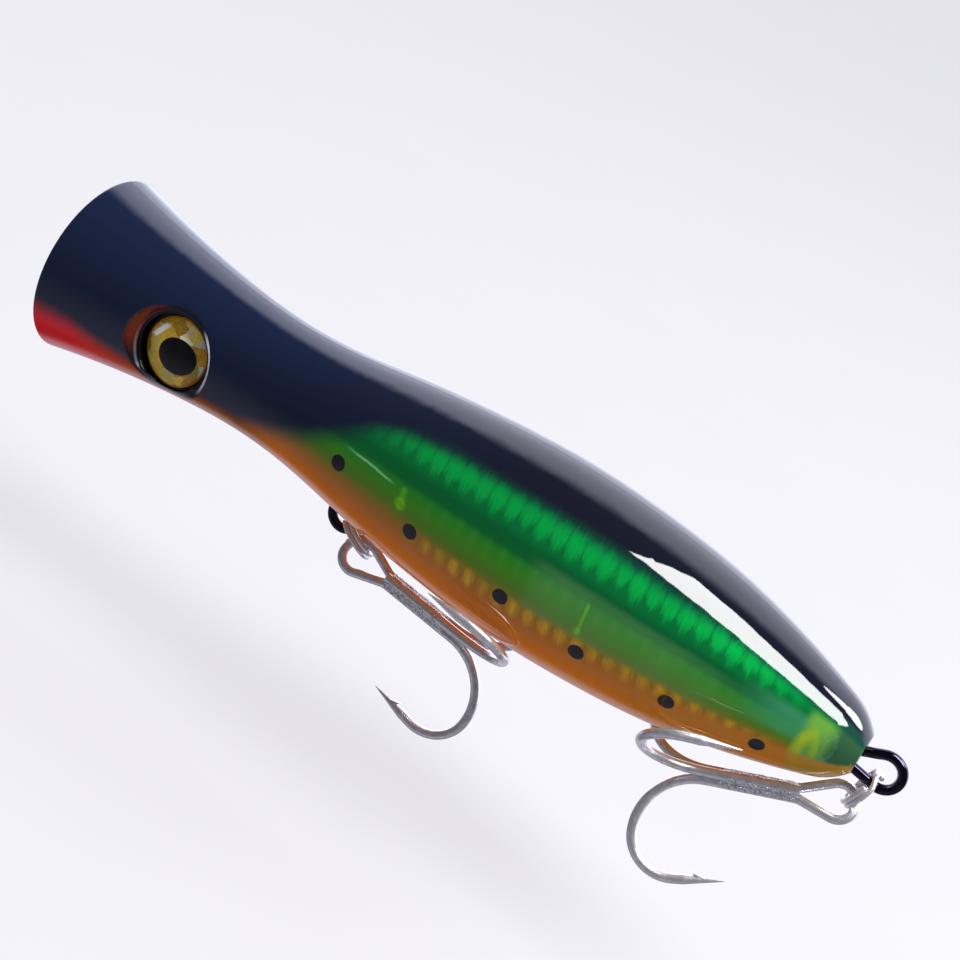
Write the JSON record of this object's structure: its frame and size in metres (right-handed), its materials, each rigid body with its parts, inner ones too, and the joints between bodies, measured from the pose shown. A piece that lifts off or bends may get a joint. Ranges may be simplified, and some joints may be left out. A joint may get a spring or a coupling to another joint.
{
  "type": "topwater popper",
  "caption": "Floating fishing lure with a cupped mouth, a wire run through a two-part shell, and treble hooks hung on split rings.",
  "frame": {"origin": "centre of the tow eye, the wire loop in the mouth", "axes": "+X from the nose to the tail, +Z towards the back, left flank towards -Y"},
  "size_m": [0.171, 0.0382, 0.0578],
  "materials": {
    "painted_shell": "glossy clear coat over navy back, green flanks and amber belly",
    "scale_foil": "holographic film with vertical scale bars",
    "dark_wire": "dark polished nickel",
    "ring_steel": "polished nickel",
    "tinned_hook": "tin plated, soft shine",
    "braze_tin": "rough tinned braze",
    "gold_iris": "faceted gold holographic print with a black pupil",
    "clear_dome": "clear glossy dome",
    "plain_steel": "plain steel",
    "ball_steel": "bright steel balls"
  },
  "bodies": {
    "lure_body": {"left_shell": "painted_shell", "right_shell": "painted_shell", "left_scale_foil": "scale_foil", "right_scale_foil": "scale_foil", "through_wire": "dark_wire", "left_eye_iris": "gold_iris", "left_eye_dome": "clear_dome", "right_eye_iris": "gold_iris", "right_eye_dome": "clear_dome", "tail_weight": "plain_steel", "keel_weight": "plain_steel"},
    "rattle": {"rattle_balls": "ball_steel"},
    "belly_ring": {"belly_split_ring": "ring_steel"},
    "belly_treble": {"belly_treble_pair": "tinned_hook", "belly_treble_third_hook": "tinned_hook", "belly_treble_braze": "braze_tin"},
    "tail_ring": {"tail_split_ring": "ring_steel"},
    "tail_treble": {"tail_treble_pair": "tinned_hook", "tail_treble_third_hook": "tinned_hook", "tail_treble_braze": "braze_tin"}
  },
  "joints": [
    {"name": "belly_ring_swing", "type": "hinge", "parent": "lure_body", "child": "belly_ring", "pos_m": [0.0627, 0, -0.0147], "axis": [0, 1, 0], "range_deg": [0, 105]},
    {"name": "belly_treble_swing", "type": "hinge", "parent": "belly_ring", "child": "belly_treble", "pos_m": [0.06939, -0.00243, -0.01764], "axis": [0.4801, 0.6778, -0.5569], "range_deg": [0, 45]},
    {"name": "tail_ring_swing", "type": "hinge", "parent": "lure_body", "child": "tail_ring", "pos_m": [0.1634, 0, -0.00055], "axis": [0, 1, 0], "range_deg": [-190, 0]},
    {"name": "tail_treble_swing", "type": "hinge", "parent": "tail_ring", "child": "tail_treble", "pos_m": [0.16072, -0.00055, -0.00836], "axis": [-0.0832, 0.9881, -0.1294], "range_deg": [-60, 0]},
    {"name": "rattle_roll", "type": "slide", "parent": "lure_body", "child": "rattle", "axis": [1, 0, 0], "range_m": [0, 0.00765]}
  ]
}
